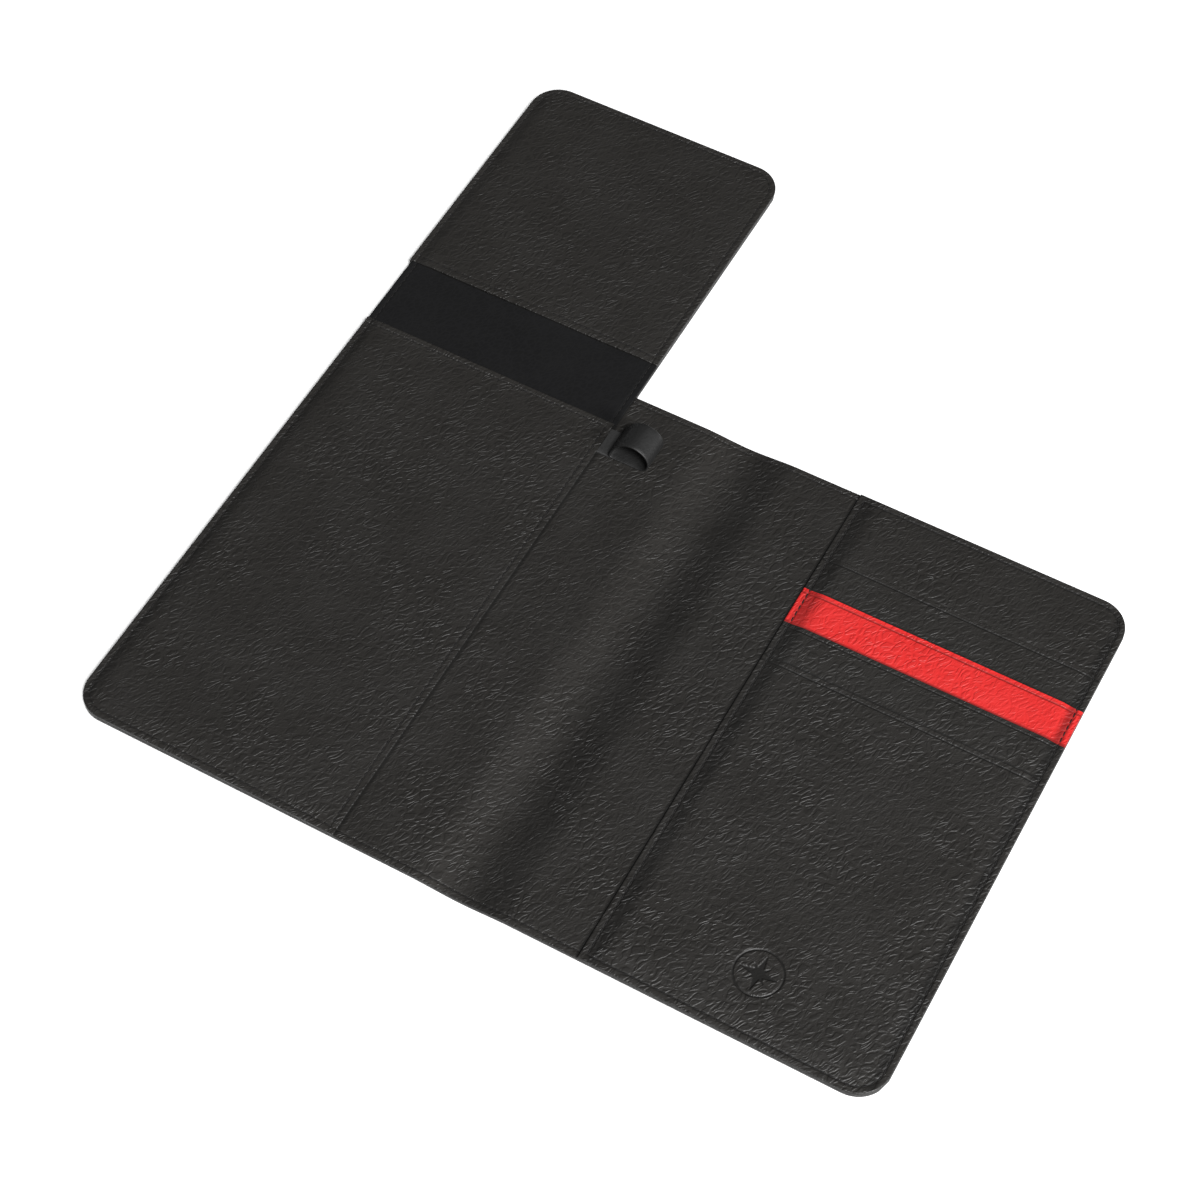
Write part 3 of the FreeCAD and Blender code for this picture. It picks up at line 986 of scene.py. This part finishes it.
def panel_linings(material):
    """The grained lining of both covers, in two pieces that meet in the middle of the spine."""
    beside_sleeve = (FLAP_RIGHT - 2, FLAP_RIGHT + 2.5, HEM_STEP)
    valley = (FLAP_RIGHT + 3, SPINE_MIDDLE, VALLEY_STEP)
    xs = stations(LEFT, SPINE_MIDDLE, WIDE_STEP, fine_end=False, extra=[valley, beside_sleeve])
    ys = stations(BOTTOM, TOP, PANEL_STEP, extra=[(BAND_TUCKED_Y - 2, BAND_TUCKED_Y, 2.0)])
    tones = {"shade": lining_shade, "mark": lining_mark}
    back = grid_mesh(
        "back_lining",
        xs,
        ys,
        lining_face,
        lining_back,
        ("sw",),
        keep=lambda x, y: (x > FLAP_RIGHT) | (y < BAND_TUCKED_Y),
        **tones,
    )
    dress(back, material, "leather_lining", fold="spine_fold", nodes=["back_cover_lining"])

    beside_cards = (CARD_LEFT - 2.5, CARD_LEFT + 1, HEM_STEP)
    valley = (SPINE_MIDDLE, CARD_LEFT - 3, VALLEY_STEP)
    xs = stations(SPINE_MIDDLE, RIGHT, WIDE_STEP, fine_start=False, extra=[valley, beside_cards])
    front = grid_mesh("front_lining", xs, ys, lining_face, lining_back, ("se", "ne"), **tones)
    nodes = ["front_cover_lining", "spine_lining"]
    dress(front, material, "leather_lining", fold="front_cover_fold", nodes=nodes)


def band_linings(material):
    """The smooth band that the flap hangs from, in two pieces that each lie across one fold."""
    xs = stations(LEFT, FLAP_RIGHT, 1.8)
    ys = stations(BAND_TUCKED_Y, BAND_MIDDLE, BAND_STEP, fine_start=False, fine_end=False)
    lower = grid_mesh("band_lining_lower", xs, ys, band_face, band_back)
    dress(lower, material, "leather_smooth", fold="band_fold", nodes=["hinge_band_lower_lining"])

    tucked_y = FLAP_HEM_Y + 2.0
    ys = stations(BAND_MIDDLE, tucked_y, BAND_STEP, fine_start=False, fine_end=False)
    upper = grid_mesh("band_lining_upper", xs, ys, band_face, band_back)
    dress(upper, material, "leather_smooth", fold="flap_fold", nodes=["flap_band_lining"])


def sleeve_and_flap(material):
    """The large sleeve over the left panel, and the lining of the flap."""
    xs = stations(LEFT, SLEEVE_RIGHT, 1.4)
    ys = stations(BOTTOM, SLEEVE_TOP, PANEL_STEP)
    sleeve = grid_mesh("back_sleeve", xs, ys, sleeve_face, sleeve_back, ("sw",), shade=sleeve_shade)
    dress(sleeve, material, "leather_lining", body="back_cover", nodes=["back_cover_sleeve"])

    xs = stations(LEFT - FLAP_OVERHANG, FLAP_RIGHT, PANEL_STEP)
    ys = stations(FLAP_HEM_Y, FLAP_TOP, PANEL_STEP)
    on_board = level(box_mm("flap_board")[1][2])
    flap = grid_mesh("flap_lining_panel", xs, ys, flap_face, on_board, ("nw", "ne"), shade=flap_shade)
    dress(flap, material, "leather_lining", body="flap", nodes=["flap_lining"])


def card_backing(material):
    """The leather behind the card slots, fine only where it shows above them."""
    xs = stations(CARD_LEFT, RIGHT, CARD_STEP)
    by_top_slot = (SLOT_EDGES[0] - 2, SLOT_EDGES[0] + 0.5, 0.4)
    behind_pocket = (BOTTOM + 7, SLOT_EDGES[0] - 5, 12.0)
    ys = stations(BOTTOM, TOP, PANEL_STEP, extra=[by_top_slot, behind_pocket])
    tones = {"shade": card_shade, "mark": card_mark}
    backing = grid_mesh("card_backing", xs, ys, card_face, level(LINING_Z), ("se", "ne"), **tones)
    dress(backing, material, "leather_lining", body="front_cover", nodes=["card_panel_backing"])


def slot_strips(material, red_material):
    """The three strips that make the card slots, one of them red."""
    xs = stations(CARD_LEFT, RIGHT, CARD_STEP)
    for node, edge in zip(SLOT_NODES[:3], SLOT_EDGES):
        face = strip_face(edge)
        low = edge - SLOT_PITCH - STRIP_TUCK
        hem = (edge - 3.2, edge - 0.4, HEM_STEP)
        gap = (edge - SLOT_PITCH - 0.4, edge - SLOT_PITCH + 1.4, 0.2)
        ys = stations(low, edge, 1.2, fine_start=False, extra=[hem, gap])
        tones = {"shade": strip_shade(edge), "mark": strip_mark(edge)}
        strip = grid_mesh(node + "_strip", xs, ys, face, strip_back(face), **tones)
        look, slot = (red_material, "leather_red") if "red" in node else (material, "leather_lining")
        dress(strip, look, slot, body="front_cover", nodes=[node])


def front_pocket(material):
    """The large pocket below the slots, with its pressed compass rose."""
    edge = SLOT_EDGES[3]
    hem = (edge - 3.2, edge - 0.4, HEM_STEP)
    rose_x, rose_y = ((middle - ROSE_REACH, middle + ROSE_REACH, ROSE_STEP) for middle in (ROSE_X, ROSE_Y))
    xs = stations(CARD_LEFT, RIGHT, CARD_STEP, extra=[rose_x])
    ys = stations(BOTTOM, edge, CARD_STEP, extra=[hem, rose_y])
    pocket = grid_mesh(
        "front_pocket",
        xs,
        ys,
        pocket_face,
        strip_back(pocket_face),
        ("se",),
        shade=strip_shade(edge),
        mark=lambda x, y: np.maximum(compass_rose(x, y), strip_mark(edge)(x, y)),
    )
    dress(pocket, material, "leather_lining", body="front_cover", nodes=["front_pocket_panel"])


def closed_curve(points, per_span):
    """A smooth closed line through the points."""
    points = np.array(points, float)
    count = len(points)
    line = []
    for k in range(count):
        p0, p1, p2, p3 = (points[(k + o) % count] for o in (-1, 0, 1, 2))
        slope = p2 - p0
        bend = 2 * p0 - 5 * p1 + 4 * p2 - p3
        twist = 3 * p1 - p0 - 3 * p2 + p3
        shares = np.arange(per_span) / per_span
        line += [0.5 * (2 * p1 + slope * t + bend * t**2 + twist * t**3) for t in shares]
    return np.array(line)


def strap_section(half):
    """The strap's section as (depth, place across it), with round edges and points along its wide sides."""
    section = []
    for depth_end, y_end in ((0, -1), (0, 1), (1, 1), (1, -1)):
        for a in (0.0, 0.5, 1.0):
            turn = math.pi / 2 * (a if (depth_end == 0) == (y_end == -1) else 1 - a)
            inset_y = STRAP_ROUND * (1 - math.cos(turn))
            inset_d = STRAP_ROUND * (1 - math.sin(turn))
            depth = inset_d if depth_end == 0 else LOOP_STRAP - inset_d
            section.append((depth, y_end * (half - inset_y)))
    divided = []
    for start, end in zip(section, section[1:] + section[:1]):
        divided.append(start)
        if abs(start[1] - end[1]) > half:
            divided += [(start[0], start[1] + (end[1] - start[1]) * t / 8) for t in range(1, 8)]
    return divided


def pen_loop(material, tab_material):
    """A strap that leaves a tab under the sleeve's hem, rolls over and comes back to it."""
    (x0, y0, z0), (_, y1, _) = box_mm("pen_loop")
    line = closed_curve(LOOP_OUTLINE, 8)
    ahead = np.roll(line, -1, 0) - np.roll(line, 1, 0)
    ahead /= np.linalg.norm(ahead, axis=1)[:, None]
    outward = np.stack([ahead[:, 1], -ahead[:, 0]], 1)
    middle = (y0 + y1) / 2
    section = strap_section((y1 - y0) / 2)
    points, faces = [], []
    for p, n in zip(line, outward):
        for depth, y in section:
            points.append((x0 + p[0] - n[0] * depth, middle + y, z0 + p[1] - n[1] * depth))
    rings, sides = len(line), len(section)
    for i in range(rings):
        here, ahead_ring = i * sides, (i + 1) % rings * sides
        for k in range(sides):
            beside = (k + 1) % sides
            faces.append((here + k, here + beside, ahead_ring + beside, ahead_ring + k))
    plain = {"shade": np.ones(len(points)), "mark": np.zeros(len(points))}
    loop = mesh_piece("pen_loop_strap", points, faces, plain, SHARP_DEGREES)
    dress(loop, material, "leather_loop", body="back_cover", nodes=["pen_loop"])

    xs = stations(SLEEVE_RIGHT - 0.4, x0 + 1.2, 0.6, fine_start=False, fine_end=False)
    ys = stations(y0, y1, 1.2)
    top = box_mm("pen_loop_tab")[1][2]

    def tab_face(x, y):
        return top - roll(np.minimum(y - y0, y1 - y), 0.35) + 0.35 * smooth((x - x0 + 0.6) / 1.8)

    tab = grid_mesh("pen_loop_tab_strap", xs, ys, tab_face, level(LINING_Z))
    dress(tab, tab_material, "leather_tab", body="back_cover", nodes=["pen_loop_tab"])


# Where the border's stitches run: left, right, bottom, top, and the flap's right and top
STITCH_LINES = (LEFT + STITCH, RIGHT - STITCH, BOTTOM + STITCH, TOP - STITCH)
FLAP_STITCH_LINES = (FLAP_RIGHT - STITCH, FLAP_TOP - STITCH)
STITCH_CORNER = CORNER - STITCH


def sew(thread, name, runs, surface, side=1, **follows):
    """One piece of stitching; follows is the body that it moves with, or the fold that it lies across."""
    dress(stitches(name, runs, surface, side), thread, "leather_smooth", **follows)


def inner_stitching(thread):
    """The seams on the side that shows when the cover lies open."""
    w, e, s, n = STITCH_LINES
    flap_e, flap_n = FLAP_STITCH_LINES
    hem_x, hem_y = SLEEVE_RIGHT - HEM_STITCH, SLEEVE_TOP - HEM_STITCH
    runs = [
        rounded_path([(w, hem_y), (w, s), (hem_x, s)], STITCH_CORNER),
        rounded_path([(hem_x, s + HEM_GAP), (hem_x, hem_y)]),
        rounded_path([(w + HEM_GAP, hem_y), (hem_x - HEM_GAP, hem_y)]),
    ]
    sew(thread, "sleeve_stitching", runs, sleeve_face, body="back_cover")
    runs = [rounded_path([(SLEEVE_RIGHT + 0.5, y), (SPINE_MIDDLE, y)]) for y in (s, n)]
    sew(thread, "back_lining_stitching", runs, lining_face, fold="spine_fold")
    runs = [rounded_path([(SPINE_MIDDLE, y), (CARD_LEFT - 0.5, y)]) for y in (s, n)]
    sew(thread, "front_lining_stitching", runs, lining_face, fold="front_cover_fold")
    runs = [rounded_path([(x, SLEEVE_TOP + 0.5), (x, BAND_MIDDLE)]) for x in (w, flap_e)]
    sew(thread, "band_lower_stitching", runs, band_face, fold="band_fold")
    runs = [rounded_path([(x, BAND_MIDDLE), (x, FLAP_HEM_Y - 0.5)]) for x in (w, flap_e)]
    sew(thread, "band_upper_stitching", runs, band_face, fold="flap_fold")
    flap_w, hem = w - FLAP_OVERHANG, FLAP_HEM_Y + FLAP_HEM_STITCH
    runs = [
        rounded_path([(flap_w, hem), (flap_w, flap_n), (flap_e, flap_n), (flap_e, hem)], STITCH_CORNER),
        rounded_path([(flap_w + HEM_GAP, hem), (flap_e - HEM_GAP, hem)]),
    ]
    sew(thread, "flap_stitching", runs, flap_face, body="flap")
    card_w = CARD_LEFT + STITCH
    runs = [
        rounded_path([(card_w, n), (card_w, s)]),
        rounded_path([(card_w + HEM_GAP, n), (e, n), (e, s), (card_w + HEM_GAP, s)], STITCH_CORNER),
    ]
    sew(thread, "card_panel_stitching", runs, level(CARD_BORDER_Z - 0.2), body="front_cover")


def outer_stitching(thread):
    """The same border seams on the outside."""
    w, e, s, n = STITCH_LINES
    flap_e, flap_n = FLAP_STITCH_LINES
    middle = SPINE_MIDDLE
    runs = [
        rounded_path([(w, SEAM_Y), (w, s), (middle, s)], STITCH_CORNER),
        rounded_path([(flap_e, n), (middle, n)]),
    ]
    sew(thread, "back_outer_stitching", runs, outer_face, -1, fold="spine_fold")
    runs = [rounded_path([(middle, s), (e, s), (e, n), (middle, n)], STITCH_CORNER)]
    sew(thread, "front_outer_stitching", runs, outer_face, -1, fold="front_cover_fold")
    runs = [
        rounded_path([(w, SEAM_Y), (w, BAND_MIDDLE)]),
        rounded_path([(flap_e, n), (flap_e, BAND_MIDDLE)]),
    ]
    sew(thread, "band_outer_stitching", runs, outer_face, -1, fold="band_fold")
    round_flap = [(w, BAND_MIDDLE), (w, flap_n), (flap_e, flap_n), (flap_e, BAND_MIDDLE)]
    runs = [rounded_path(round_flap, STITCH_CORNER)]
    sew(thread, "flap_outer_stitching", runs, outer_face, -1, fold="flap_fold")


def hidden_parts():
    """Materials for the CAD pieces sealed between the leathers."""
    board = hidden_material("grey_board", BOARD_DARK, BOARD_LIGHT, 900, 0.85)
    strip = hidden_material("reinforcement", STRIP_DARK, STRIP_LIGHT, 1500, 0.9)
    nickel = hidden_material("nickel", NICKEL_DARK, NICKEL_LIGHT, 400, 0.25, metallic=1.0)
    zinc = hidden_material("zinc", ZINC_DARK, ZINC_LIGHT, 600, 0.40, metallic=1.0)
    looks = {"grey_board": board, "reinforcement": strip, "magnet": nickel, "steel_disc": zinc}
    for part in frame["record"]["subparts"]:
        if part["material_slot"] in looks:
            node = frame["nodes"][part["node"]]
            node.data.materials.clear()
            node.data.materials.append(looks[part["material_slot"]])


make_camera()
make_stage()
black = leather("black_leather", BLACK)
red = leather("red_leather", RED, crease_highlight=1.1)
smooth_black = leather("smooth_leather", BAND_BLACK, grain=1.5, relief=0.02, specular=0.15)
loop_leather = leather("loop_leather", LOOP_BLACK, grain=1.7, relief=0.05)
tab_leather = leather("tab_leather", TAB_GREY, grain=2.0, relief=0.02)
black_thread = thread_material()
outer_leather(black)
panel_linings(black)
band_linings(smooth_black)
sleeve_and_flap(black)
card_backing(black)
slot_strips(black, red)
front_pocket(black)
pen_loop(loop_leather, tab_leather)
inner_stitching(black_thread)
outer_stitching(black_thread)
hidden_parts()
